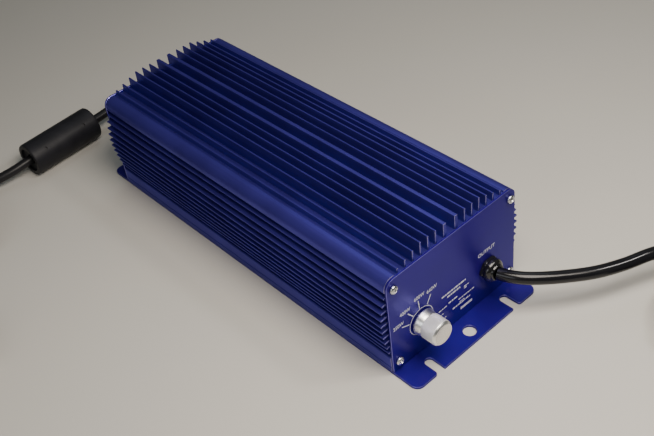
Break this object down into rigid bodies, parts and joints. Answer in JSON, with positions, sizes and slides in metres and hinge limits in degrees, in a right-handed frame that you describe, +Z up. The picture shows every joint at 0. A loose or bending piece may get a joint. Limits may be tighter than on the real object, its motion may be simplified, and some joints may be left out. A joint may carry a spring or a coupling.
{
  "type": "grow lamp ballast",
  "caption": "Finned blue aluminium ballast box for a grow lamp, with a power selector knob, slotted mounting flanges, a lamp lead and a mains lead.",
  "frame": {"origin": "under the middle of the base plate, on the surface that it lies on", "axes": "+X to the right seen from the front, +Y from the front plate with the knob to the rear plate, +Z up"},
  "size_m": [0.4465, 0.5994, 0.093],
  "materials": {
    "blue_anodised": "blue anodised, satin",
    "blue_plate": "blue, semi-gloss",
    "bright_steel": "bright zinc plated",
    "turned_aluminium": "turned, with a polished skirt",
    "brass": "machined",
    "black_plastic": "moulded, satin",
    "black_cord": "extruded, glossy",
    "ferrite": "ferrite in a matte moulded skin",
    "green_board": "glass-fibre laminate",
    "copper_winding": "enamelled copper wire",
    "yellow_tape": "polyester tape",
    "capacitor_sleeve": "shrunk sleeve",
    "grey_pad": "silicone pad",
    "pale_sheet": "insulating sheet"
  },
  "bodies": {
    "ballast": {"base_plate": "blue_plate", "base_screw_1": "bright_steel", "base_screw_2": "bright_steel", "base_screw_3": "bright_steel", "base_screw_4": "bright_steel", "boost_inductor": "yellow_tape", "bridge_rectifier": "black_plastic", "bulk_capacitor_1": "capacitor_sleeve", "bulk_capacitor_2": "capacitor_sleeve", "circuit_board": "green_board", "emi_choke": "copper_winding", "ferrite_core": "ferrite", "front_plate": "blue_plate", "front_screw_lower_left": "bright_steel", "front_screw_lower_right": "bright_steel", "front_screw_upper_left": "bright_steel", "front_screw_upper_right": "bright_steel", "housing": "blue_anodised", "ignition_coil": "yellow_tape", "input_coil": "black_cord", "input_cord": "black_cord", "input_cord_tail": "black_cord", "input_fuse": "pale_sheet", "input_gland_body": "black_plastic", "input_gland_locknut": "black_plastic", "input_gland_nut": "black_plastic", "input_strain_relief": "black_cord", "input_terminal": "green_board", "input_tie": "black_plastic", "insulation_sheet": "pale_sheet", "lamp_connector": "black_plastic", "mains_plug": "black_cord", "output_coil": "black_cord", "output_cord": "black_cord", "output_cord_tail": "black_cord", "output_gland_body": "black_plastic", "output_gland_locknut": "black_plastic", "output_gland_nut": "black_plastic", "output_relay": "black_plastic", "output_terminal": "green_board", "output_tie": "black_plastic", "output_transformer": "copper_winding", "power_transistor_1": "black_plastic", "power_transistor_2": "black_plastic", "power_transistor_3": "black_plastic", "power_transistor_4": "black_plastic", "rear_plate": "blue_plate", "rear_screw_lower_left": "bright_steel", "rear_screw_lower_right": "bright_steel", "rear_screw_upper_left": "bright_steel", "rear_screw_upper_right": "bright_steel", "selector_nut": "brass", "selector_switch": "black_plastic", "selector_washer": "bright_steel", "suppression_capacitor": "yellow_tape", "thermal_pad": "grey_pad", "transistor_clamp": "bright_steel"},
    "selector": {"knob": "turned_aluminium", "knob_set_screw": "bright_steel", "selector_shaft": "bright_steel"}
  },
  "joints": [
    {"name": "selector_turn", "type": "hinge", "parent": "ballast", "child": "selector", "pos_m": [-0.0322, -0.156, 0.03], "axis": [0, -1, 0], "range_deg": [-36, 62]}
  ]
}
